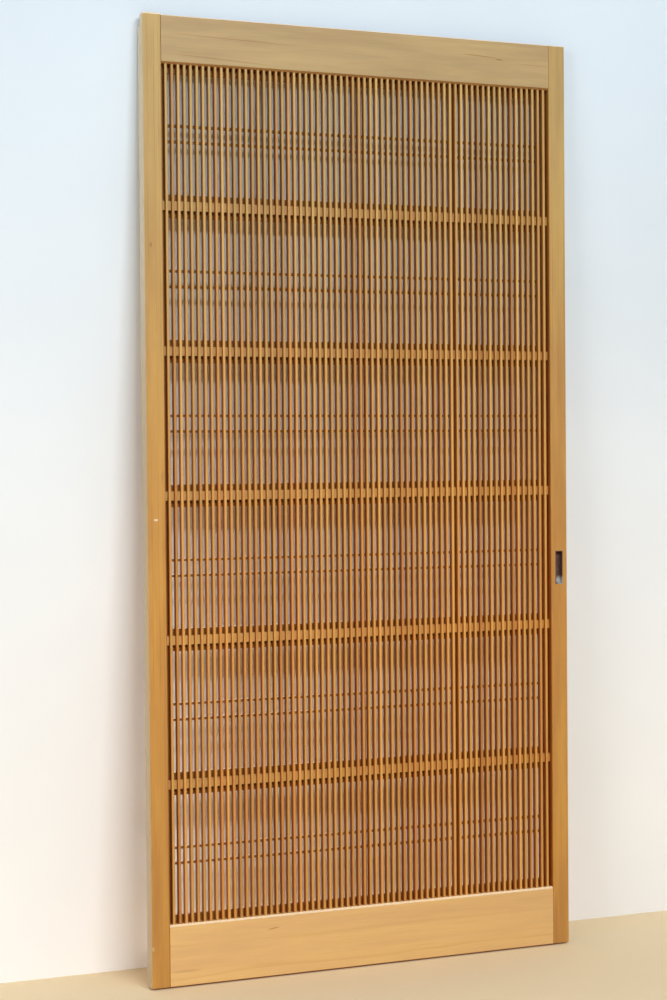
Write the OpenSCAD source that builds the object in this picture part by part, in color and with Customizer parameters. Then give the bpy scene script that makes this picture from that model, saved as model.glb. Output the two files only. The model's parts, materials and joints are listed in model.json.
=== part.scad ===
// Sliding lattice door. A softwood frame holds a close row of upright bars threaded on five
// cross rails, with a lighter screen of rails, uprights and paired slats behind them. The right
// stile has a finger pull in each face, and two rollers are let into the bottom rail.
// Millimetres, +Z up. The front faces -Y. The origin is on the sill, midway along the door and
// midway through its thickness, with the wheels standing on z = 0.

/* [Door] */
// Width over the stiles
door_w = 870; // [600:1:1200]
// Height of the woodwork, from its foot to the head of the top rail
door_h = 1790; // [1300:1:2400]
// Thickness of the stiles and rails
door_t = 30; // [28:0.5:45]

/* [Frame] */
// Face width of each stile
stile_w = 35.5; // [28:0.5:60]
// Face height of the top rail
top_rail_h = 88; // [70:1:140]
// Face height of the bottom rail
bottom_rail_h = 115; // [80:1:200]
// Height of the left stile's head above the top rail
left_rise = 3; // [0:0.5:10]
// Height of the right stile's head above the top rail
right_rise = 0; // [0:0.5:10]
// Bevel round the left stile's head
head_bevel = 3; // [1:0.5:5]
// Thickness of the tongue along the head
tongue_t = 17; // [10:0.5:24]
// Height of the tongue along the head
tongue_h = 19; // [8:0.5:30]
// Bevel along the edges of the stiles and the outer edges of the rails
arris = 1; // [0.2:0.1:2]
// Bevel along the rails' edges beside the lattice
inner_bevel = 3.5; // [0.4:0.1:3.8]
// Length of the rails' tenons in the stiles
tenon_l = 22; // [10:0.5:26]
// Thickness of the rails' tenons
tenon_t = 9; // [6:0.5:14]
// Distance from a rail's edge to its tenon
tenon_set = 12; // [5:0.5:20]

/* [Lattice] */
// Face width of each bar
bar_w = 5; // [4:0.1:12]
// Depth of each bar
bar_t = 11; // [8:0.1:12.5]
// Least clear gap between bars
bar_gap = 6.9; // [4:0.1:20]
// Distance from the frame's face back to the bars
bar_set = 4; // [4:0.1:5.5]
// Bevel along the bars' front edges
bar_bevel = 0.5; // [0.2:0.1:1.2]
// Length of each bar end in its rail
bar_seat = 8; // [4:0.5:20]
// Height of each cross rail
cross_h = 17; // [8:0.5:35]
// Thickness of each cross rail
cross_t = 3.5; // [2.5:0.1:5]
// Wood left in a bar behind the cross rails
cross_cover = 1.5; // [1:0.1:3]
// Wood left in a stile between the cross rails' ends and the pulls
seat_web = 1.5; // [0.5:0.1:3]

/* [Back screen] */
// Distance from the bars back to the screen
screen_gap = 2; // [0.5:0.1:3.5]
// Depth of the screen's pieces
screen_t = 9; // [7.5:0.5:10.5]
// Face width of the border strips
border_w = 15; // [8:0.5:30]
// Height of each back rail
back_rail_h = 42; // [20:1:70]
// Face width of each upright
upright_w = 6; // [3:0.1:15]
// Height of each slat
slat_h = 4.5; // [2.5:0.1:12]
// Distance between the middles of a pair of slats
slat_pitch = 29; // [15:1:60]
// Length of the stub tenons in the border
stub_l = 5; // [2:0.5:7]
// Thickness of the stub tenons
stub_t = 5; // [3:0.5:6.5]

/* [Finger pulls] */
// Width of each pull
pull_w = 16; // [12:0.5:22]
// Height of each pull
pull_h = 66; // [40:1:120]
// Depth of each pull below the face
pull_depth = 10; // [7:0.5:13]
// Thickness of the pulls' metal
pull_wall = 1; // [0.6:0.1:1.5]
// Height of the pulls' rims above the face
pull_proud = 0.4; // [0.1:0.1:1]
// Height of the pulls' middle above the foot of the woodwork
pull_height = 754; // [700:1:830]

/* [Rollers] */
// Height of the woodwork above the sill
roller_drop = 3; // [1:0.5:6]
// Distance from the door's edge to each wheel's middle
roller_inset = 120; // [90:1:200]
// Diameter of each wheel
wheel_d = 30; // [24:0.5:40]
// Width of each wheel's tread
wheel_w = 8; // [5:0.5:10]
// Bevel along the edges of each wheel's tread
tread_bevel = 1; // [0.3:0.1:2]
// Diameter of each wheel's hub
hub_d = 12; // [9:0.5:14]
// Height of each hub's ends above the tread's sides
hub_proud = 1.2; // [0.4:0.1:2]
// Thickness of each wheel's web
web_t = 4; // [2:0.5:5]
// Depth of each wheel's rim
rim_t = 4; // [2:0.5:5]
// Diameter of each axle
axle_d = 5; // [3:0.5:6]
// Thickness of each case's metal
case_wall = 1.5; // [0.8:0.1:2]
// Length of each case
case_l = 60; // [46:1:70]
// Clear height above each wheel in its case
case_head = 2; // [1:0.5:5]
// Length of each case's flange
flange_l = 96; // [90:1:130]
// Width of each flange outside the case
flange_lip = 2; // [1:0.5:4]
// Thickness of each flange
flange_t = 2.4; // [2.2:0.1:4]
// Diameter of each screw's shank
screw_d = 3.5; // [2.5:0.1:4]
// Diameter of each screw's head
screw_head_d = 7; // [6:0.1:8]
// Length of each screw
screw_l = 25; // [12:1:50]
// Length of each screw's point
screw_point = 5; // [2:0.5:8]
// Length of each slot in the screws' crossed recesses
recess_l = 4; // [2.5:0.1:4.5]
// Width of each slot in the screws' crossed recesses
recess_w = 0.9; // [0.5:0.1:1.2]
// Depth of the screws' crossed recesses
recess_depth = 1.2; // [0.5:0.1:2]

/* [Hidden] */
$fn = 64;

// Clearance all round a wood joint or a let-in fitting
fit = 0.1;
// Clearance on the radius between an axle and its wheel or case
run_fit = 0.05;
// Play between each end of a hub and its case
side_play = 0.3;
// Overrun of a cut past the face that it opens
overrun = 1;

// Counts that the node names follow
cross_count = 5;
upright_count = 3;
bar_group_count = 11;
bay_count = cross_count + 1;

// Levels of the frame
foot_z = roller_drop;
head_z = foot_z + door_h;
rebate_z = head_z - tongue_h;
opening_low = foot_z + bottom_rail_h;
opening_high = head_z - top_rail_h;

// Bays of equal clear height between the cross rails
bay_clear = (opening_high - opening_low - cross_count * cross_h) / bay_count;
bay_pitch = bay_clear + cross_h;

// Places across the width and through the thickness
half_w = door_w / 2;
half_t = door_t / 2;
half_opening = half_w - stile_w;
stile_x = half_w - stile_w / 2;
tongue_back_y = tongue_t - half_t;

// Lattice, set out with equal gaps that are no less than the least gap
bar_count = floor((2 * half_opening - bar_gap) / (bar_w + bar_gap));
bar_pitch = (2 * half_opening + bar_w) / (bar_count + 1);
bar_front_y = bar_set - half_t;
bar_back_y = bar_front_y + bar_t;
cross_back_y = bar_back_y - cross_cover;
cross_front_y = cross_back_y - cross_t;
cross_seat = (stile_w - pull_w) / 2 - seat_web;

// Screen
screen_front_y = bar_back_y + screen_gap;
screen_back_y = screen_front_y + screen_t;
screen_mid_y = (screen_front_y + screen_back_y) / 2;
half_screen = half_opening - border_w;
screen_low = opening_low + border_w;
screen_high = opening_high - border_w;
upright_pitch = (2 * half_screen + upright_w) / (upright_count + 1);

// Pull
pull_z = foot_z + pull_height;
pull_rim_y = -half_t - pull_proud;
scoop_r = pull_depth + pull_proud - pull_wall;

// Roller, with the case sized by its wheel
roller_x = half_w - roller_inset;
wheel_r = wheel_d / 2;
hub_w = wheel_w + 2 * hub_proud;
case_w = hub_w + 2 * side_play + 2 * case_wall;
case_top = wheel_d + case_head + case_wall;
flange_w = case_w + 2 * flange_lip;
screw_x = (case_l + flange_l) / 4;
screw_head_h = (screw_head_d - screw_d) / 2;

// Tones of the wood and metal
stile_tone = [0.78, 0.60, 0.36];
rail_tone = [0.82, 0.65, 0.42];
bar_tone = [0.79, 0.58, 0.33];
screen_tone = [0.64, 0.40, 0.18];
bronze_tone = [0.22, 0.17, 0.15];
steel_tone = [0.70, 0.71, 0.72];
wheel_tone = [0.88, 0.86, 0.80];

// Names that repeat
lows_and_highs = ["lower", "upper"];
function two_digits(n) = str(n < 10 ? "0" : "", n);
function bar_node(group) = str("lattice_bars_", two_digits(group + 1));
function cross_node(level) = str("lattice_rail_", level + 1);
function back_rail_node(level) = str("back_rail_", level + 1);
function upright_node(place) = str("back_upright_", place + 1);
function slat_node(bay, row) = str("back_slat_", bay + 1, "_", lows_and_highs[row]);

// Places that repeat, counted from the left and from the bottom
function bar_x(index) = (index + 1) * bar_pitch - bar_w / 2 - half_opening;
function first_bar(group) = floor(group * bar_count / bar_group_count);
function cross_z(level) = opening_low + (level + 1) * bay_pitch - cross_h / 2;
function upright_x(place) = (place + 1) * upright_pitch - upright_w / 2 - half_screen;
function slat_z(bay, row) = opening_low + bay * bay_pitch + bay_clear / 2 + (row - 0.5) * slat_pitch;

// Shapes that repeat

// Box between two corners
module block(low, high) {
    translate(low) cube(high - low);
}

// Upright rectangle between two levels, with its own bevel at the low and at the high corners
module bevelled_rect(w, low, high, low_bevel, high_bevel) {
    polygon([
        [low_bevel - w / 2, low],
        [w / 2 - low_bevel, low],
        [w / 2, low + low_bevel],
        [w / 2, high - high_bevel],
        [w / 2 - high_bevel, high],
        [high_bevel - w / 2, high],
        [-w / 2, high - high_bevel],
        [-w / 2, low + low_bevel]
    ]);
}

// Stile blank at the middle of the door, with every edge bevelled and its own bevel round the head
module stile_blank(head, top_bevel) {
    intersection() {
        linear_extrude(head) bevelled_rect(stile_w, -half_t, half_t, arris, arris);
        translate([0, half_t, 0]) rotate([90, 0, 0]) linear_extrude(door_t)
            bevelled_rect(stile_w, foot_z, head, arris, top_bevel);
        translate([-stile_w / 2, 0, 0]) rotate([90, 0, 90]) linear_extrude(stile_w)
            bevelled_rect(door_t, foot_z, head, arris, top_bevel);
    }
}

// Rail blank between the stiles, with its own bevel on the low and high edges
module rail_blank(low, high, low_bevel, high_bevel) {
    translate([-half_opening, 0, 0]) rotate([90, 0, 90]) linear_extrude(2 * half_opening)
        bevelled_rect(door_t, low, high, low_bevel, high_bevel);
}

// A rail's two tenons, or with a clearance the mortises that take them
module rail_tenons(low, high, clear) {
    reach = half_opening + tenon_l + clear;
    block([-reach, -tenon_t / 2 - clear, low + tenon_set - clear],
        [reach, tenon_t / 2 + clear, high - tenon_set + clear]);
}

// Rebate along the back of the head, which leaves the tongue in front
module head_rebate() {
    block([-half_w - overrun, tongue_back_y, rebate_z],
        [half_w + overrun, half_t + overrun, head_z + max(left_rise, right_rise) + overrun]);
}

// Cross rail from stile to stile, or with a clearance the way cut for it
module cross_stick(level, clear) {
    reach = half_opening + cross_seat + clear;
    block([-reach, cross_front_y - clear, cross_z(level) - cross_h / 2 - clear],
        [reach, cross_back_y + clear, cross_z(level) + cross_h / 2 + clear]);
}

// Bar ends let into a rail between two levels
module bar_mortises(low, high) {
    for (index = [0 : bar_count - 1])
        block([bar_x(index) - bar_w / 2 - fit, bar_front_y - fit, low],
            [bar_x(index) + bar_w / 2 + fit, bar_back_y + fit, high]);
}

// Section of a bar: two bevelled edges to the front
module bar_section() {
    polygon([
        [-bar_w / 2, bar_back_y],
        [-bar_w / 2, bar_front_y + bar_bevel],
        [bar_bevel - bar_w / 2, bar_front_y],
        [bar_w / 2 - bar_bevel, bar_front_y],
        [bar_w / 2, bar_front_y + bar_bevel],
        [bar_w / 2, bar_back_y]
    ]);
}

// Stick of the screen along x, stub tenons and all, or with a clearance the mortises for it
module screen_stick(z, h, stub_h, clear) {
    reach = half_screen + stub_l + clear;
    block([-reach, screen_mid_y - stub_t / 2 - clear, z - stub_h / 2 - clear],
        [reach, screen_mid_y + stub_t / 2 + clear, z + stub_h / 2 + clear]);
    block([-half_screen, screen_front_y, z - h / 2], [half_screen, screen_back_y, z + h / 2]);
}

// Height of a back rail's stub tenon
function back_stub_h() = back_rail_h - 2 * stub_l;

// Upright of the screen with its stub tenons, or with a clearance the mortises for it
module upright_stick(place, clear) {
    x = upright_x(place);
    block([x - upright_w / 2 - clear, screen_mid_y - stub_t / 2 - clear, screen_low - stub_l - clear],
        [x + upright_w / 2 + clear, screen_mid_y + stub_t / 2 + clear, screen_high + stub_l + clear]);
    block([x - upright_w / 2, screen_front_y, screen_low], [x + upright_w / 2, screen_back_y, screen_high]);
}

// Housings behind a stick for the uprights that cross it
module upright_housings(z, h) {
    for (place = [0 : upright_count - 1])
        block([upright_x(place) - upright_w / 2 - fit, screen_mid_y, z - h / 2 - overrun],
            [upright_x(place) + upright_w / 2 + fit, screen_back_y + overrun, z + h / 2 + overrun]);
}

// Housing in front of an upright for one stick that crosses it
module stick_housing(z, h) {
    block([-half_opening, screen_front_y - overrun, z - h / 2 - fit],
        [half_opening, screen_mid_y + fit, z + h / 2 + fit]);
}

// Scooped side profile of a pull: a flat floor that curves up to the rim at both ends
module scoop_profile(half_length, r) {
    end = half_length - r;
    translate([0, end]) circle(r);
    translate([0, -end]) circle(r);
    translate([-r, -end]) square([2 * r, 2 * end]);
}

// Scoop across a pull, centred on its rim
module scoop(w, half_length, r) {
    translate([-w / 2, pull_rim_y, pull_z]) rotate([90, 0, 90]) linear_extrude(w) scoop_profile(half_length, r);
}

// Pressed tray of the front pull, in the middle of its stile's width
module pull_tray() {
    difference() {
        intersection() {
            scoop(pull_w, pull_h / 2, scoop_r + pull_wall);
            block([-pull_w / 2, pull_rim_y, pull_z - pull_h / 2],
                [pull_w / 2, pull_rim_y + scoop_r + pull_wall, pull_z + pull_h / 2]);
        }
        scoop(pull_w - 2 * pull_wall, pull_h / 2 - pull_wall, scoop_r);
    }
}

// Pocket in a stile for the front pull
module pull_pocket() {
    block([-pull_w / 2 - fit, -half_t - overrun, pull_z - pull_h / 2 - fit],
        [pull_w / 2 + fit, pull_rim_y + scoop_r + pull_wall + fit, pull_z + pull_h / 2 + fit]);
}

// Countersunk screw pointing up from the foot, or with a clearance the hole for it
module screw_form(clear) {
    shank_r = screw_d / 2 + clear;
    rotate_extrude() polygon([
        [0, 0],
        [screw_head_d / 2 + clear, 0],
        [shank_r, screw_head_h],
        [shank_r, screw_l - screw_point],
        [0, screw_l + clear]
    ]);
}

// The screws of a roller, or with a clearance their holes
module roller_screw_set(clear) {
    for (end = [-1, 1]) translate([end * screw_x, 0, foot_z]) screw_form(clear);
}

// Roller, modelled in the middle of the door's length

// Case and flange from a low level up, or with a clearance the room for them
module roller_case_blank(low, clear) {
    block([-case_l / 2 - clear, -case_w / 2 - clear, low],
        [case_l / 2 + clear, case_w / 2 + clear, case_top + clear]);
    block([-flange_l / 2 - clear, -flange_w / 2 - clear, low],
        [flange_l / 2 + clear, flange_w / 2 + clear, foot_z + flange_t + clear]);
}

module axle_rod(r, length) {
    translate([0, length / 2, wheel_r]) rotate([90, 0, 0]) cylinder(h = length, r = r);
}

module roller_case() {
    half_in = case_w / 2 - case_wall;
    difference() {
        roller_case_blank(foot_z, 0);
        block([case_wall - case_l / 2, -half_in, foot_z - overrun],
            [case_l / 2 - case_wall, half_in, case_top - case_wall]);
        axle_rod(axle_d / 2 + run_fit, case_w + 2 * overrun);
        roller_screw_set(fit);
    }
}

module roller_axle() {
    axle_rod(axle_d / 2, case_w);
}

module roller_wheel() {
    bore_r = axle_d / 2 + run_fit;
    rim_r = wheel_r - rim_t;
    translate([0, 0, wheel_r]) rotate([90, 0, 0]) rotate_extrude() polygon([
        [bore_r, -hub_w / 2],
        [hub_d / 2, -hub_w / 2],
        [hub_d / 2, -web_t / 2],
        [rim_r, -web_t / 2],
        [rim_r, -wheel_w / 2],
        [wheel_r - tread_bevel, -wheel_w / 2],
        [wheel_r, tread_bevel - wheel_w / 2],
        [wheel_r, wheel_w / 2 - tread_bevel],
        [wheel_r - tread_bevel, wheel_w / 2],
        [rim_r, wheel_w / 2],
        [rim_r, web_t / 2],
        [hub_d / 2, web_t / 2],
        [hub_d / 2, hub_w / 2],
        [bore_r, hub_w / 2]
    ]);
}

// Room in the bottom rail for a roller
module roller_room() {
    roller_case_blank(foot_z - overrun, fit);
    roller_screw_set(fit);
}

// Frame

// Stile at the right, mortised for both rails and for the cross rails
module stile(head, top_bevel) {
    difference() {
        translate([stile_x, 0, 0]) stile_blank(head, top_bevel);
        head_rebate();
        rail_tenons(opening_high, rebate_z, fit);
        rail_tenons(foot_z, opening_low, fit);
        for (level = [0 : cross_count - 1]) cross_stick(level, fit);
    }
}

module left_stile() {
    color(stile_tone) mirror([1, 0, 0]) stile(head_z + left_rise, head_bevel);
}

module right_stile() {
    color(stile_tone) difference() {
        stile(head_z + right_rise, arris);
        translate([stile_x, 0, 0]) pull_pocket();
        translate([stile_x, 0, 0]) mirror([0, 1, 0]) pull_pocket();
    }
}

module top_rail() {
    color(rail_tone) difference() {
        union() {
            rail_blank(opening_high, head_z, inner_bevel, arris);
            rail_tenons(opening_high, rebate_z, 0);
        }
        head_rebate();
        bar_mortises(opening_high - overrun, opening_high + bar_seat + fit);
    }
}

module bottom_rail() {
    color(rail_tone) difference() {
        union() {
            rail_blank(foot_z, opening_low, arris, inner_bevel);
            rail_tenons(foot_z, opening_low, 0);
        }
        bar_mortises(opening_low - bar_seat - fit, opening_low + overrun);
        for (side = [-1, 1]) translate([side * roller_x, 0, 0]) roller_room();
    }
}

// Lattice

module lattice_rail(level) {
    color(bar_tone) cross_stick(level, 0);
}

// Neighbouring bars, each mortised for the cross rails that thread it
module lattice_bars(group) {
    color(bar_tone) difference() {
        for (index = [first_bar(group) : first_bar(group + 1) - 1])
            translate([bar_x(index), 0, opening_low - bar_seat])
                linear_extrude(opening_high - opening_low + 2 * bar_seat) bar_section();
        for (level = [0 : cross_count - 1]) cross_stick(level, fit);
    }
}

// Back screen

// Side strip of the border, mortised for the back rails and the slats
module back_border_side(side) {
    color(screen_tone) difference() {
        mirror([side < 0 ? 1 : 0, 0, 0])
            block([half_screen, screen_front_y, opening_low], [half_opening, screen_back_y, opening_high]);
        for (level = [0 : cross_count - 1]) screen_stick(cross_z(level), back_rail_h, back_stub_h(), fit);
        for (bay = [0 : bay_count - 1]) for (row = [0, 1]) screen_stick(slat_z(bay, row), slat_h, slat_h, fit);
    }
}

// Top or bottom strip of the border, mortised for the uprights
module back_border_end(low, high) {
    color(screen_tone) difference() {
        block([-half_screen, screen_front_y, low], [half_screen, screen_back_y, high]);
        for (place = [0 : upright_count - 1]) upright_stick(place, fit);
    }
}

module back_rail(level) {
    color(screen_tone) difference() {
        screen_stick(cross_z(level), back_rail_h, back_stub_h(), 0);
        upright_housings(cross_z(level), back_rail_h);
    }
}

module back_slat(bay, row) {
    color(screen_tone) difference() {
        screen_stick(slat_z(bay, row), slat_h, slat_h, 0);
        upright_housings(slat_z(bay, row), slat_h);
    }
}

// Upright halved over the back rails and slats
module back_upright(place) {
    color(screen_tone) difference() {
        upright_stick(place, 0);
        for (level = [0 : cross_count - 1]) stick_housing(cross_z(level), back_rail_h);
        for (bay = [0 : bay_count - 1]) for (row = [0, 1]) stick_housing(slat_z(bay, row), slat_h);
    }
}

// Fittings

module front_pull() {
    color(bronze_tone) translate([stile_x, 0, 0]) pull_tray();
}

module rear_pull() {
    color(bronze_tone) translate([stile_x, 0, 0]) mirror([0, 1, 0]) pull_tray();
}

// Crossed recess in the head of a screw
module screw_recess() {
    for (turn = [0, 90]) rotate(turn)
        block([-recess_l / 2, -recess_w / 2, -overrun], [recess_l / 2, recess_w / 2, recess_depth]);
}

module roller_screws() {
    color(steel_tone) for (side = [-1, 1]) translate([side * roller_x, 0, 0]) difference() {
        roller_screw_set(0);
        for (end = [-1, 1]) translate([end * screw_x, 0, foot_z]) screw_recess();
    }
}

left_stile();
right_stile();
top_rail();
bottom_rail();
for (level = [0 : cross_count - 1]) lattice_rail(level);
for (group = [0 : bar_group_count - 1]) lattice_bars(group);
back_border_side(-1);  // back_border_left
back_border_side(1);  // back_border_right
back_border_end(screen_high, opening_high);  // back_border_top
back_border_end(opening_low, screen_low);  // back_border_bottom
for (level = [0 : cross_count - 1]) back_rail(level);
for (place = [0 : upright_count - 1]) back_upright(place);
for (bay = [0 : bay_count - 1]) for (row = [0, 1])
    back_slat(bay, row);
front_pull();
rear_pull();
color(steel_tone) translate([-roller_x, 0, 0]) roller_case();  // left_roller_case
color(steel_tone) translate([-roller_x, 0, 0]) roller_axle();  // left_roller_axle
color(wheel_tone) translate([-roller_x, 0, 0]) roller_wheel();  // left_roller_wheel
color(steel_tone) translate([roller_x, 0, 0]) roller_case();  // right_roller_case
color(steel_tone) translate([roller_x, 0, 0]) roller_axle();  // right_roller_axle
color(wheel_tone) translate([roller_x, 0, 0]) roller_wheel();  // right_roller_wheel
roller_screws();
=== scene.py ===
"""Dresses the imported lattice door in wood, bronze and roller finishes, under soft studio light."""

import json
import math

import bpy
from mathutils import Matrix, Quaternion, Vector


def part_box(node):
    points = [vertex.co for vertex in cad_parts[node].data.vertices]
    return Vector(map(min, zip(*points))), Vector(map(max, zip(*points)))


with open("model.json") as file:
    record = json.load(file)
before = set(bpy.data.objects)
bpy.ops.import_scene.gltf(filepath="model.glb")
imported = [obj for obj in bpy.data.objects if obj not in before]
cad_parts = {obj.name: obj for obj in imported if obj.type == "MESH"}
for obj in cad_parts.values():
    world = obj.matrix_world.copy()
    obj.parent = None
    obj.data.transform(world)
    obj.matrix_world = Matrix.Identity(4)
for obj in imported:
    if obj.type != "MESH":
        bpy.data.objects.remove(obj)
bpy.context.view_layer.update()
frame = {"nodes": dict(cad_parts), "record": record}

MM = 0.001

# Sizes of the door, read from the frame
STILE_LOW, STILE_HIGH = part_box("left_stile")
FRONT_Y = STILE_LOW.y
BACK_Y = STILE_HIGH.y
HEAD_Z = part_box("top_rail")[1].z
# The faces of the opening that get painted shade, its seats in the stiles included, end here on both sides
SEAT_REACH = 4.0 * MM
INNER_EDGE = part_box("right_stile")[0].x + SEAT_REACH
BAR_GROUPS = sorted(name for name in frame["nodes"] if name.startswith("lattice_bars_"))
BARS_PER_GROUP = 6
BAR_LOW, BAR_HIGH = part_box(BAR_GROUPS[0])
BAR_PITCH = (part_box(BAR_GROUPS[-1])[0].x - BAR_LOW.x) / (BARS_PER_GROUP * (len(BAR_GROUPS) - 1))
BAR_WIDTH = BAR_HIGH.x - BAR_LOW.x - (BARS_PER_GROUP - 1) * BAR_PITCH
FIRST_BAR_X = BAR_LOW.x + BAR_WIDTH / 2

# Camera of the photograph, worked out from the corners of the door's front face
CAMERA_PLACE = Vector((-1.4465, -3.4468, 0.9815))
CAMERA_YAW = math.radians(21.90)
CAMERA_PITCH = math.radians(-1.273)
CAMERA_ROLL = math.radians(-0.48)
CAMERA_LENS = 70.0
CAMERA_SENSOR = 36.0

# How each group of wood pieces looks. Colours are linear: low at the foot of the door, high at its head, with painted
# light between: a warm floor light at the foot, a cool greyer sheen at the head, and right, where there is one, is a
# painted shade that grows towards the right.
# along: the axis that the grain follows. pith: from a stick's middle to the heart of its log.
# spread and redness: how much the sticks differ in lightness and in hue.
STYLES = {
    "stile_wood": dict(
        low=(0.500, 0.245, 0.059), high=(0.402, 0.276, 0.110), along="Z", ring=4.2 * MM, pith=(0.21, 0.05),
        warp=3.5 * MM, depth=0.7, spread=0.03, redness=0.0, contrast=1.8),
    "top_rail": dict(
        low=(0.400, 0.285, 0.140), high=(0.395, 0.283, 0.138), along="X", ring=4.5 * MM, pith=(0.012, 0.10),
        warp=7.0 * MM, depth=0.65, spread=0.0, redness=0.0, contrast=1.6),
    "bottom_rail": dict(
        low=(0.715, 0.442, 0.184), high=(0.715, 0.442, 0.184), right=(0.93, 0.92, 0.91), along="X",
        ring=4.5 * MM, pith=(0.012, 0.10), warp=7.0 * MM, depth=0.45, spread=0.0, redness=0.0, contrast=0.9),
    "lattice_rail": dict(
        low=(0.62, 0.362, 0.126), high=(0.425, 0.288, 0.122), right=(0.93, 0.78, 0.55), along="X",
        ring=3.0 * MM, pith=(0.2, 0.03), warp=2.0 * MM, depth=0.45, spread=0.08, redness=0.2, contrast=1.0),
    "lattice_bar": dict(
        low=(0.585, 0.297, 0.078), high=(0.440, 0.303, 0.119), along="Z", ring=2.6 * MM, pith=(0.15, 0.06),
        warp=2.0 * MM, depth=0.5, spread=0.30, redness=0.85, contrast=1.0),
    "screen_wood": dict(
        low=(0.37, 0.155, 0.040), high=(0.31, 0.160, 0.052), along="X", ring=3.0 * MM, pith=(0.2, 0.03),
        warp=2.0 * MM, depth=0.45, spread=0.12, redness=0.3, contrast=1.0),
}
# Heights between which the painted warm floor light of the foot turns into the painted cool sheen of the head
PAINTED_LIGHT_HEIGHTS = (0.55, 1.80)
LATE_TINT = (0.74, 0.58, 0.42)
RED_TINT = (0.86, 0.70, 0.62)
# Painted shade on the faces turned aside in the opening, between the bars
PAINTED_SHADE_TINT = (0.74, 0.43, 0.17)
# Painted shadow cast by a rail on the stick close behind it
PAINTED_SHADOW_TINT = (0.25, 0.13, 0.10)
# Painted highlight on the upper bevels, which face the light from above
BEVEL_HIGHLIGHT = (0.90, 0.68, 0.45)
# Pale grey of the outer sides of the stiles
OUTER_SIDE_GREY = (0.50, 0.42, 0.28)

# The rail in front of each stick of the screen that lies close behind one, whose painted shadow falls on that stick
COVERS = {"back_border_top": "top_rail"}
COVERS.update((name, name.replace("back_", "lattice_")) for name in frame["nodes"] if name.startswith("back_rail_"))

# Single marks on the front: where, how far they reach, and their colour
SCAR = (0.10, 0.035, 0.012)
KNOT = (0.22, 0.085, 0.025)
VEIN = (0.30, 0.165, 0.065)
CHALK = (0.80, 0.70, 0.55)
MARKS = {
    "top_rail": (
        dict(centre=(0.2485, FRONT_Y, 1.762), reach=(0.045, 0.004, 0.0016), lean=-0.05, colour=VEIN, strength=0.75),
        dict(centre=(0.2915, FRONT_Y, 1.757), reach=(0.011, 0.004, 0.0009), lean=-0.05, colour=SCAR, strength=0.85),
        dict(centre=(-0.2575, FRONT_Y, 1.7572), reach=(0.145, 0.006, 0.0013), lean=-0.026, colour=VEIN, strength=0.7),
        dict(centre=(-0.2785, FRONT_Y, 1.7185), reach=(0.13, 0.006, 0.0013), lean=-0.047, colour=VEIN, strength=0.65),
        dict(centre=(0.37, FRONT_Y, 1.751), reach=(0.05, 0.006, 0.0012), lean=-0.03, colour=VEIN, strength=0.5),
    ),
    "bottom_rail": (
        dict(centre=(-0.196, FRONT_Y, 0.093), reach=(0.014, 0.004, 0.0016), lean=0.12, colour=KNOT, strength=0.5),
        dict(centre=(-0.37, FRONT_Y, 0.030), reach=(0.035, 0.004, 0.0030), colour=VEIN, strength=0.25),
    ),
    "left_stile": (
        dict(centre=(-0.405, FRONT_Y, 0.948), reach=(0.0030, 0.004, 0.012), colour=KNOT, strength=0.25),
        dict(centre=(-0.4185, FRONT_Y, 0.868), reach=(0.0050, 0.003, 0.0026), colour=CHALK, strength=0.8),
        dict(centre=(-0.423, FRONT_Y, 1.372), reach=(0.0022, 0.004, 0.006), colour=KNOT, strength=0.6),
        dict(centre=(-0.432, FRONT_Y, 0.077), reach=(0.0025, 0.004, 0.005), colour=CHALK, strength=0.3),
    ),
    "right_stile": (
        dict(centre=(0.405, FRONT_Y, 0.055), reach=(0.0040, 0.004, 0.060), colour=VEIN, strength=0.35),
    ),
}


def rgba(colour):
    return (*colour, 1.0)


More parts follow.
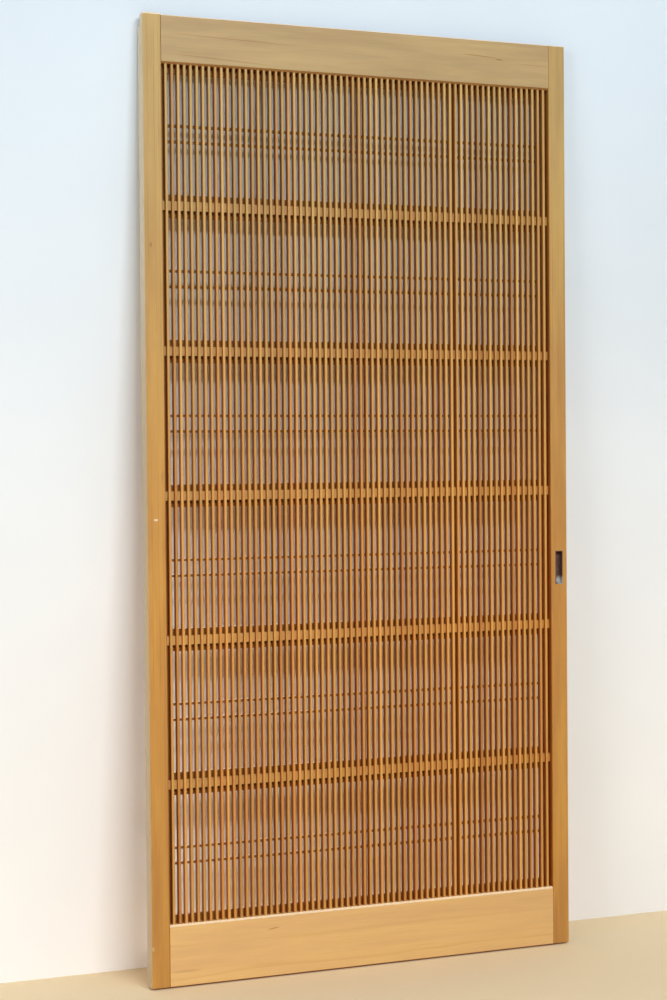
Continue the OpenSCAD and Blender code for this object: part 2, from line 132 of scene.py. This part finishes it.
class Graph:
    """The node tree of a material or a world, built by short calls that return sockets."""

    def __init__(self, owner, output="OutputMaterial"):
        self.owner = owner
        owner.use_nodes = True
        self.tree = owner.node_tree
        self.tree.nodes.clear()
        self.output = self.add(output)

    def add(self, kind, inputs=None, **settings):
        node = self.tree.nodes.new("ShaderNode" + kind)
        for key, value in settings.items():
            setattr(node, key, value)
        for key, value in (inputs or {}).items():
            self.put(node.inputs[key], value)
        return node

    def put(self, socket, value):
        if isinstance(value, bpy.types.NodeSocket):
            self.tree.links.new(value, socket)
        else:
            socket.default_value = value

    def place(self):
        return self.add("TexCoord").outputs["Object"]

    def split(self, vector):
        return self.add("SeparateXYZ", {"Vector": vector}).outputs

    def math(self, operation, first, second=0.0):
        return self.add("Math", {0: first, 1: second}, operation=operation).outputs[0]

    def times(self, first, second):
        return self.math("MULTIPLY", first, second)

    def square(self, value):
        return self.times(value, value)

    def smooth(self, value, low, high, at_low=0.0, at_high=1.0):
        inputs = {"Value": value, "From Min": low, "From Max": high, "To Min": at_low, "To Max": at_high}
        return self.add("MapRange", inputs, interpolation_type="SMOOTHSTEP").outputs[0]

    def mix(self, factor, first, second, blend="MIX"):
        node = self.add("Mix", data_type="RGBA", blend_type=blend)
        for socket, value in zip((node.inputs[0], node.inputs[6], node.inputs[7]), (factor, first, second)):
            self.put(socket, value)
        return node.outputs[2]

    def tint(self, factor, colour, tint):
        """A colour, multiplied by a tint as far as the factor says."""
        return self.mix(factor, colour, self.mix(1.0, colour, rgba(tint), "MULTIPLY"))

    def noise(self, vector, scale=1.0, detail=2.0, roughness=0.5):
        inputs = {"Vector": vector, "Scale": scale, "Detail": detail, "Roughness": roughness}
        return self.add("TexNoise", inputs).outputs["Fac"]

    def scaled(self, vector, scale):
        return self.add("Mapping", {"Vector": vector, "Scale": scale}).outputs[0]

    def chance(self, number):
        """Three numbers from 0 to 1 that follow from one number."""
        colour = self.add("TexWhiteNoise", {"W": number}, noise_dimensions="1D").outputs["Color"]
        return self.add("SeparateColor", {"Color": colour}).outputs[:3]

    def principled(self, inputs):
        return self.add("BsdfPrincipled", inputs).outputs[0]

    def either(self, factor, first, second):
        return self.add("MixShader", {0: factor, 1: first, 2: second}).outputs[0]

    def shown(self, shader):
        """The material or world, with a shader as its surface."""
        self.put(self.output.inputs["Surface"], shader)
        return self.owner


# Wood. Each grain is a noise: how fine across and along the stick, per metre, its detail and its roughness.
# The other pairs and fours are ranges for Graph.smooth: from, to, and the values there if they aren't 0 and 1.

GRAINS = {
    "bend": dict(across=9.0, along=1.7, detail=3.0, roughness=0.5),
    "patch": dict(across=25.0, along=4.0, detail=2.0, roughness=0.5),
    "fibre": dict(across=1100.0, along=16.0, detail=3.0, roughness=0.6),
    "tone": dict(across=38.0, along=3.5, detail=3.0, roughness=0.55),
}
SHIFT_REACH = 90.0
HALF = 0.5
RING_RISE = (0.35, 0.88)
RING_FALL = (0.9, 1.0, 1.0, 0.0)
RING_WEIGHT = (0.2, 1.0, 0.1, 1.0)
PATCH_SHARE = (0.38, 0.66, 0.15, 1.0)
RED_STICKS = (0.55, 0.98)
FLECKS = (0.70, 0.86, 0.0, 0.35)
FLECK_TONE = 0.3
TONE_SPAN = (0.25, 0.75)
TONE_CHANGE = 0.07
TONE_HUES = (0.495, 0.505)
FIBRE_SPAN = (0.2, 0.8)
FIBRE_CHANGE = 0.05
FIBRE_ROUGHNESS = (0.38, 0.50)
LATE_ROUGHNESS = 0.08
LATE_RELIEF = 0.4
WOOD_BUMP = {"Strength": 0.10, "Distance": 0.3 * MM}
WOOD_SPECULAR = 0.2

# Which way a face looks, by the parts of its normal
TURNED_ASIDE = (0.6, 0.95, 1.0, 0.0)
NOT_UPWARD = (0.2, 0.6, 1.0, 0.0)
FORWARD_BEVEL = (-0.5, -0.3, 0.85, 0.0)
UPWARD_BEVEL = (0.3, 0.5)
SIDEWAYS = (0.5, 0.9, 0.0, 0.8)
SEAT_FADE = 2.0 * MM

# Painted shadow of the rail in front: it ends below the foot of that rail, under its head and just inside the face
PAINTED_SHADOW_FOOT = (6.5 * MM, 4.5 * MM)
PAINTED_SHADOW_HEAD = (3.0 * MM, 1.0 * MM)
PAINTED_SHADOW_SKIN = (0.2 * MM, 0.6 * MM)
PAINTED_SHADOW_SHARE = 0.95

MARK_FRAY = 0.8
MARK_EDGE = (0.15, 1.0)


def stick_middle(graph, split):
    """The number of the bar that a point is on, counted from the left, and that bar's middle."""
    number = graph.math("ROUND", graph.math("DIVIDE", graph.math("SUBTRACT", split["X"], FIRST_BAR_X), BAR_PITCH))
    return number, graph.math("ADD", graph.times(number, BAR_PITCH), FIRST_BAR_X)


def grain(graph, kind, along, across, through, shift):
    """A noise that is long in the grain's direction, in which each stick has a place of its own."""
    look = GRAINS[kind]
    parts = [graph.times(across, look["across"]), graph.times(through, look["across"]),
             graph.math("ADD", graph.times(along, look["along"]), shift)]
    vector = graph.add("CombineXYZ", dict(enumerate(parts))).outputs[0]
    return graph.noise(vector, detail=look["detail"], roughness=look["roughness"])


def rings(graph, style, along, across, through, shift):
    """The late wood of growth rings about the log's heart: lines that fade in and out along the stick."""
    stick = (along, across, through, shift)
    bend = graph.math("SUBTRACT", grain(graph, "bend", *stick), HALF)
    from_heart = [graph.math("ADD", part, pith) for part, pith in zip((across, through), style["pith"])]
    radius = graph.math("SQRT", graph.math("ADD", *map(graph.square, from_heart)))
    bent = graph.math("ADD", radius, graph.times(bend, 2.0 * style["warp"]))
    phase = graph.math("ADD", graph.math("DIVIDE", bent, style["ring"]), shift)
    within = graph.math("FRACT", phase)
    line = graph.times(graph.smooth(within, *RING_RISE), graph.smooth(within, *RING_FALL))
    patchy = graph.times(line, graph.smooth(grain(graph, "patch", *stick), *PATCH_SHARE))
    return graph.times(patchy, graph.smooth(graph.chance(graph.math("FLOOR", phase))[0], *RING_WEIGHT))


def face_masks(graph, split):
    """How far a point lies on a face turned aside in the opening, which gets painted shade, on an upper bevel, which
    gets a painted highlight, and on an outer side.
    """
    facing = graph.split(graph.add("TexCoord").outputs["Normal"])
    across, front, up = graph.math("ABSOLUTE", facing["X"]), facing["Y"], facing["Z"]
    inside = graph.smooth(graph.math("ABSOLUTE", split["X"]), INNER_EDGE, INNER_EDGE + SEAT_FADE, 1.0, 0.0)
    turned = graph.smooth(graph.math("ABSOLUTE", front), *TURNED_ASIDE)
    painted_shade = graph.times(graph.times(turned, graph.smooth(up, *NOT_UPWARD)), inside)
    bevel_highlight = graph.times(graph.smooth(front, *FORWARD_BEVEL), graph.smooth(up, *UPWARD_BEVEL))
    outer = graph.times(graph.smooth(across, *SIDEWAYS), graph.math("SUBTRACT", 1.0, inside))
    return painted_shade, bevel_highlight, outer


def painted_shadow_mask(graph, split, face_y, cover):
    """How far a point lies in the painted shadow on the front of a back rail, behind the cross rail that covers it or
    just below.
    """
    low, high = cover
    foot = [low.z - gap for gap in PAINTED_SHADOW_FOOT]
    head = [high.z - gap for gap in PAINTED_SHADOW_HEAD]
    skin = [face_y + gap for gap in PAINTED_SHADOW_SKIN]
    over_foot = graph.smooth(split["Z"], *foot, 0.0, PAINTED_SHADOW_SHARE)
    under_head = graph.smooth(split["Z"], *head, 1.0, 0.0)
    in_front = graph.smooth(split["Y"], *skin, 1.0, 0.0)
    return graph.times(graph.times(over_foot, under_head), in_front)


def spot(graph, split, fibre, along, across, mark):
    """How strongly a mark covers a point: an ellipsoid with a frayed edge, which may lean across the grain."""
    away = {axis: graph.math("SUBTRACT", split[axis], middle) for axis, middle in zip("XYZ", mark["centre"])}
    if "lean" in mark:
        away[across] = graph.math("SUBTRACT", away[across], graph.times(away[along], mark["lean"]))
    total = graph.times(graph.math("SUBTRACT", fibre, HALF), MARK_FRAY)
    for axis, half in zip("XYZ", mark["reach"]):
        total = graph.math("ADD", total, graph.square(graph.math("DIVIDE", away[axis], half)))
    return graph.smooth(total, *MARK_EDGE, mark["strength"], 0.0)


def wood(name, style, seed, along, middle, by_bar=False, marks=(), cover=None):
    """Planed softwood: rings, fibres, a slow change of tone, pale outer sides and single marks, with painted light by
    height, painted shade, shadows and bevel highlights.
    """
    graph = Graph(bpy.data.materials.new(name))
    split = graph.split(graph.place())
    across = "X" if along == "Z" else "Z"
    number, middle = stick_middle(graph, split) if by_bar else (float(seed), middle)
    first, second, third = graph.chance(graph.math("ADD", number, float(seed)))
    shift = graph.times(first, SHIFT_REACH)
    stick = (split[along], graph.math("SUBTRACT", split[across], middle), split["Y"], shift)
    late, fibre, tone = rings(graph, style, *stick), grain(graph, "fibre", *stick), grain(graph, "tone", *stick)

    # The wood's colour with painted light by height and a painted shade to the right, and its lines and flecks
    colour = graph.mix(graph.smooth(split["Z"], *PAINTED_LIGHT_HEIGHTS), rgba(style["low"]), rgba(style["high"]))
    # Painted shade that grows towards the right, where less light falls
    if "right" in style:
        colour = graph.tint(graph.smooth(split["X"], -INNER_EDGE, INNER_EDGE), colour, style["right"])
    colour = graph.tint(graph.times(graph.smooth(third, *RED_STICKS), style["redness"]), colour, RED_TINT)
    fleck = graph.smooth(graph.math("ADD", fibre, graph.times(tone, FLECK_TONE)), *FLECKS)
    colour = graph.tint(graph.math("MAXIMUM", graph.times(late, style["depth"]), fleck), colour, LATE_TINT)

    # Lighter and darker stretches, fibres and sticks
    slow, fine = TONE_CHANGE * style["contrast"], FIBRE_CHANGE * style["contrast"]
    by_tone = graph.smooth(tone, *TONE_SPAN, 1.0 - slow, 1.0 + slow)
    light = graph.math("ADD", by_tone, graph.smooth(fibre, *FIBRE_SPAN, -fine, fine))
    light = graph.math("ADD", light, graph.times(graph.math("SUBTRACT", second, HALF), style["spread"]))
    hue = graph.smooth(tone, *TONE_SPAN, *TONE_HUES)
    colour = graph.add("HueSaturation", {"Hue": hue, "Value": light, "Color": colour}).outputs[0]

    # Painted shade on faces turned aside, painted highlights on upper bevels, pale outer sides, painted shadows under
    # the rails, then the single marks
    painted_shade, bevel_highlight, outer = face_masks(graph, split)
    # Painted shade on the faces turned aside in the opening
    colour = graph.tint(painted_shade, colour, PAINTED_SHADE_TINT)
    # Painted highlight on the upper bevels, and the pale grey of the outer sides
    colour = graph.mix(outer, graph.mix(bevel_highlight, colour, rgba(BEVEL_HIGHLIGHT)), rgba(OUTER_SIDE_GREY))
    # Painted shadow of the rail in front, on a back rail
    if cover:
        colour = graph.tint(painted_shadow_mask(graph, split, *cover), colour, PAINTED_SHADOW_TINT)
    for mark in marks:
        colour = graph.mix(spot(graph, split, fibre, along, across, mark), colour, rgba(mark["colour"]))

    relief = graph.math("ADD", fibre, graph.times(late, LATE_RELIEF))
    bump = graph.add("Bump", {"Height": relief, **WOOD_BUMP}).outputs[0]
    rough = graph.math("ADD", graph.smooth(fibre, *FIBRE_SPAN, *FIBRE_ROUGHNESS), graph.times(late, LATE_ROUGHNESS))
    return graph.shown(graph.principled(
        {"Base Color": colour, "Roughness": rough, "Specular IOR Level": WOOD_SPECULAR, "Normal": bump}))


# Metal and plastic

# The range in which most values of a noise lie
NOISE_SPAN = (0.3, 0.7)

BRONZE_DARK = (0.058, 0.022, 0.016)
BRONZE_PALE = (0.105, 0.046, 0.034)
BRONZE_SCRATCHED = (0.24, 0.15, 0.12)
BRONZE_RIM = (0.26, 0.16, 0.12)
# Painted reflection at the foot of the scoop
BRONZE_PAINTED_GLINT = (0.38, 0.39, 0.38)
BRONZE_CLOUD = dict(scale=160.0, detail=4.0, roughness=0.6)
BRONZE_ROUGHNESS = (0.30, 0.45)
BRONZE_COAT = {"Coat Weight": 1.0, "Coat Roughness": 0.12}
BRONZE_BUMP = {"Strength": 0.1, "Distance": 0.1 * MM}
SCRATCH_SCALE = (2600.0, 2600.0, 260.0)
SCRATCH_DETAIL = 3.0
SCRATCHES = (0.58, 0.8, 0.0, 0.4)
RIM_REACH = 0.3 * MM
RIM_SHARE = 0.35
# The painted reflection at the foot of the scoop: from the middle of the pull's foot to its middle, how far it
# reaches, and its frayed edge
GLINT_OFFSET = (3.5 * MM, 4.0 * MM)
GLINT_REACH = (8.0 * MM, 13.0 * MM)
GLINT_FRAY = 0.5
GLINT_SHARE = 0.9
GLINT_EDGE = (0.0, 1.3, GLINT_SHARE, 0.0)
GLINT_METALLIC = (0.0, GLINT_SHARE, 0.7, 0.1)

ZINC_DARK = (0.50, 0.51, 0.53)
ZINC_PALE = (0.64, 0.65, 0.66)
ZINC_LINE = (0.38, 0.39, 0.40)
ZINC_LINES = (0.5, 0.8, 0.0, 0.25)
ZINC_GRAIN_SCALE = (60.0, 900.0, 900.0)
ZINC_GRAIN = dict(detail=3.0, roughness=0.6)
ZINC_CLOUD = dict(scale=120.0, detail=3.0, roughness=0.6)
ZINC_ROUGHNESS = (0.2, 0.8, 0.28, 0.45)

PLASTIC = (0.72, 0.69, 0.60)
DUST = (0.40, 0.36, 0.30)
DUST_CLOUD = dict(scale=220.0, detail=4.0, roughness=0.65)
DUST_MOST = 0.5
DUST_SHARE = (0.4, 0.7, 0.0, DUST_MOST)
DUST_ROUGHNESS = (0.0, DUST_MOST, 0.38, 0.6)


def bronze(name):
    """Dark brown lacquered metal, satin, rubbed paler along its rims, with a grey painted reflection at the foot of
    its scoop.
    """
    graph = Graph(bpy.data.materials.new(name))
    place = graph.place()
    split = graph.split(place)
    cloud = graph.noise(place, **BRONZE_CLOUD)
    scratch = graph.noise(graph.scaled(place, SCRATCH_SCALE), detail=SCRATCH_DETAIL)
    colour = graph.mix(graph.smooth(cloud, *NOISE_SPAN), rgba(BRONZE_DARK), rgba(BRONZE_PALE))
    colour = graph.mix(graph.smooth(scratch, *SCRATCHES), colour, rgba(BRONZE_SCRATCHED))
    depth = graph.math("ABSOLUTE", split["Y"])
    rim = graph.smooth(depth, BACK_Y - RIM_REACH, BACK_Y + RIM_REACH, 0.0, RIM_SHARE)
    colour = graph.mix(rim, colour, rgba(BRONZE_RIM))

    low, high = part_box("front_pull")
    middle = ((low.x + high.x) / 2 + GLINT_OFFSET[0], low.z + GLINT_OFFSET[1])
    shares = [graph.math("DIVIDE", graph.math("SUBTRACT", split[axis], centre), reach)
              for axis, centre, reach in zip("XZ", middle, GLINT_REACH)]
    away = graph.math("ADD", *map(graph.square, shares))
    frayed = graph.math("ADD", away, graph.times(graph.math("SUBTRACT", cloud, HALF), GLINT_FRAY))
    painted_glint = graph.smooth(frayed, *GLINT_EDGE)
    # Painted reflection: grey at the foot of the scoop, where the metal is made less metallic
    colour = graph.mix(painted_glint, colour, rgba(BRONZE_PAINTED_GLINT))

    bump = graph.add("Bump", {"Height": cloud, **BRONZE_BUMP}).outputs[0]
    return graph.shown(graph.principled(
        {"Base Color": colour, "Metallic": graph.smooth(painted_glint, *GLINT_METALLIC), "Normal": bump, **BRONZE_COAT,
         "Roughness": graph.smooth(cloud, *NOISE_SPAN, *BRONZE_ROUGHNESS)}))


def zinc(name):
    """Plated steel with a fine rolled grain along the case."""
    graph = Graph(bpy.data.materials.new(name))
    place = graph.place()
    rolled = graph.noise(graph.scaled(place, ZINC_GRAIN_SCALE), **ZINC_GRAIN)
    cloud = graph.noise(place, **ZINC_CLOUD)
    colour = graph.mix(graph.smooth(cloud, *NOISE_SPAN), rgba(ZINC_DARK), rgba(ZINC_PALE))
    colour = graph.mix(graph.smooth(rolled, *ZINC_LINES), colour, rgba(ZINC_LINE))
    return graph.shown(graph.principled(
        {"Base Color": colour, "Metallic": 1.0, "Roughness": graph.smooth(rolled, *ZINC_ROUGHNESS)}))


def wheel_plastic(name):
    """Off-white moulded plastic, greyed by dust."""
    graph = Graph(bpy.data.materials.new(name))
    dust = graph.smooth(graph.noise(graph.place(), **DUST_CLOUD), *DUST_SHARE)
    colour = graph.mix(dust, rgba(PLASTIC), rgba(DUST))
    return graph.shown(graph.principled({"Base Color": colour, "Roughness": graph.smooth(dust, *DUST_ROUGHNESS)}))


# Dressing

# All bars share one seed, since each bar's own number sets it apart
BAR_SEED = 7
FIRST_SEED, SEED_STEP = 100, 3


def wear(name, material):
    node = frame["nodes"][name]
    node.data.materials.clear()
    node.data.materials.append(material)


def style_of(name, slot):
    """The style of one wooden node, and the axis that its grain follows."""
    key = name if name in STYLES else slot
    if slot == "lattice_wood":
        key = "lattice_bar" if name in BAR_GROUPS else "lattice_rail"
    upright = name.startswith("back_upright") or name in ("back_border_left", "back_border_right")
    return STYLES[key], "Z" if upright else STYLES[key]["along"]


def dress():
    shared = {"dark_bronze": bronze("dark_bronze"), "roller_steel": zinc("roller_steel"),
              "wheel_plastic": wheel_plastic("wheel_plastic")}
    for count, row in enumerate(frame["record"]["subparts"]):
        name, slot = row["node"], row["material_slot"]
        if slot in shared:
            wear(name, shared[slot])
            continue
        style, along = style_of(name, slot)
        low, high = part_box(name)
        middle = (low.x + high.x) / 2 if along == "Z" else (low.z + high.z) / 2
        by_bar = name in BAR_GROUPS
        cover = (low.y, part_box(COVERS[name])) if name in COVERS else None
        seed = BAR_SEED if by_bar else FIRST_SEED + SEED_STEP * count
        wear(name, wood("wood_" + name, style, seed, along, middle, by_bar, MARKS.get(name, ()), cover))


# Stage

WALL_HEAD_GAP = 1.0 * MM
WALL_FOOT_GAP = 0.135
WALL_TOP = 4.0
WALL_REACH = 3.0
FLOOR_REACH = 9.0
FLOOR_FADE = (1.8, 4.8)
FLOOR_COLOUR = (0.815, 0.65, 0.42)
# Painted light on the wall: warm and bright near the floor, cool and darker toward the door's head
WALL_LOW = (0.91, 0.91, 0.92)
WALL_HIGH = (0.615, 0.705, 0.805)
WALL_HEIGHTS = (0.1, HEAD_Z)
PAINT_CLOUD = dict(scale=1.3, detail=3.0)
PAINT_LIGHT = (0.97, 1.03)
PAINT_FINISH = {"Roughness": 0.8, "Specular IOR Level": 0.2}
BACKDROP = (0.84, 0.85, 0.86)
SKY = (0.86, 0.92, 1.0)
SKY_STRENGTH = 0.08


def sheet(name, corners, material):
    mesh = bpy.data.meshes.new(name)
    mesh.from_pydata([Vector(corner) for corner in corners], [], [(0, 1, 2, 3)])
    mesh.materials.append(material)
    made = bpy.data.objects.new(name, mesh)
    bpy.context.collection.objects.link(made)
    return made


def matt(graph, colour):
    """A plain pale surface, a little cloudy."""
    cloud = graph.smooth(graph.noise(graph.place(), **PAINT_CLOUD), *NOISE_SPAN, *PAINT_LIGHT)
    return graph.principled({"Base Color": graph.mix(1.0, colour, cloud, "MULTIPLY"), **PAINT_FINISH})


def floor_paint():
    """Paint that turns into the backdrop far from the door."""
    graph = Graph(bpy.data.materials.new("floor_paint"))
    away = graph.add("VectorMath", {0: graph.place()}, operation="LENGTH").outputs["Value"]
    fade = graph.times(graph.smooth(away, *FLOOR_FADE), graph.add("LightPath").outputs["Is Camera Ray"])
    glow = graph.add("Emission", {"Color": rgba(BACKDROP)}).outputs[0]
    return graph.shown(graph.either(fade, matt(graph, rgba(FLOOR_COLOUR)), glow))


def wall_paint():
    """A pale wall with painted light, cooler and darker at the door's head than at the floor, on a sheet that can't
    be seen from behind.
    """
    graph = Graph(bpy.data.materials.new("wall_paint"))
    height = graph.smooth(graph.split(graph.place())["Z"], *WALL_HEIGHTS)
    paint = matt(graph, graph.mix(height, rgba(WALL_LOW), rgba(WALL_HIGH)))
    behind = graph.add("NewGeometry").outputs["Backfacing"]
    return graph.shown(graph.either(behind, paint, graph.add("BsdfTransparent").outputs[0]))


def stage():
    """The floor and the wall. The floor behind the wall is a sheet of its own, which is returned."""
    # The wall leans from the door as far as the door leans on its wall. It casts no shadow on what is behind it
    head_y = BACK_Y + WALL_HEAD_GAP
    foot_y = head_y + WALL_FOOT_GAP
    top_y = head_y - WALL_FOOT_GAP / HEAD_Z * (WALL_TOP - HEAD_Z)
    w, r = WALL_REACH, FLOOR_REACH
    corners = [(-w, foot_y, 0), (w, foot_y, 0), (w, top_y, WALL_TOP), (-w, top_y, WALL_TOP)]
    sheet("wall", corners, wall_paint()).visible_shadow = False
    paint = floor_paint()
    sheet("floor", [(-r, -r, 0), (r, -r, 0), (r, foot_y, 0), (-r, foot_y, 0)], paint)
    return sheet("floor_behind", [(-r, foot_y, 0), (r, foot_y, 0), (r, r, 0), (-r, r, 0)], paint)


def softbox(name, place, target, size, power, colour):
    light = bpy.data.lights.new(name, "AREA")
    light.shape = "RECTANGLE"
    light.size, light.size_y = size
    light.energy = power
    light.color = colour
    made = bpy.data.objects.new(name, light)
    made.location = place
    made.rotation_mode = "QUATERNION"
    made.rotation_quaternion = (Vector(target) - Vector(place)).to_track_quat("-Z", "Y")
    bpy.context.collection.objects.link(made)
    return made


def lights(floor_behind):
    softbox("high_strip", place=(0.3, -5.2, 3.9), target=(0.0, 0.0, -0.5), size=(3.0, 0.7),
            power=222.0, colour=(1.0, 1.0, 1.0))
    softbox("left_window", place=(-4.5, -3.2, 1.7), target=(-0.4, 0.0, 0.8), size=(2.5, 2.5),
            power=98.0, colour=(0.95, 0.98, 1.0))
    softbox("overhead", place=(0.9, -1.9, 4.2), target=(0.9, -1.9, 0.0), size=(4.4, 2.2),
            power=46.0, colour=(0.70, 0.88, 1.0))
    softbox("low_fill", place=(-0.6, -5.4, 0.7), target=(0.0, 0.0, 0.3), size=(4.0, 1.0),
            power=14.0, colour=(1.0, 0.88, 0.72))
    rear = softbox("rear_fill", place=(0.3, 4.2, 2.4), target=(0.0, 0.0, 0.9), size=(3.0, 2.0),
                   power=130.0, colour=(1.0, 0.98, 0.95))
    # The rear light is for views from behind, so it lights neither the lattice nor the wall and the floor in front
    door, receivers = bpy.data.collections.new("door"), bpy.data.collections.new("rear_lit")
    receivers.objects.link(floor_behind)
    for name, node in frame["nodes"].items():
        door.objects.link(node)
        if not name.startswith("lattice_"):
            receivers.objects.link(node)
    rear.light_linking.receiver_collection = receivers
    rear.light_linking.blocker_collection = door


def sky():
    """Weak light from all round, in front of a pale backdrop."""
    graph = Graph(bpy.data.worlds.new("studio"), "OutputWorld")
    path = graph.add("LightPath").outputs
    seen = graph.math("MAXIMUM", path["Is Camera Ray"], path["Is Glossy Ray"])
    seen = graph.math("MAXIMUM", seen, path["Is Transmission Ray"])
    ambient = graph.add("Background", {"Color": rgba(SKY), "Strength": SKY_STRENGTH}).outputs[0]
    backdrop = graph.add("Background", {"Color": rgba(BACKDROP)}).outputs[0]
    bpy.context.scene.world = graph.shown(graph.either(seen, ambient, backdrop))


def camera():
    data = bpy.data.cameras.new("photo_camera")
    data.lens = CAMERA_LENS
    data.sensor_width = CAMERA_SENSOR
    made = bpy.data.objects.new("photo_camera", data)
    made.location = CAMERA_PLACE
    level = math.cos(CAMERA_PITCH)
    look = Vector((math.sin(CAMERA_YAW) * level, math.cos(CAMERA_YAW) * level, math.sin(CAMERA_PITCH)))
    made.rotation_mode = "QUATERNION"
    made.rotation_quaternion = look.to_track_quat("-Z", "Y") @ Quaternion((0, 0, 1), CAMERA_ROLL)
    bpy.context.collection.objects.link(made)
    bpy.context.scene.camera = made


camera()
lights(stage())
sky()
dress()
bpy.context.scene.view_settings.view_transform = "Standard"
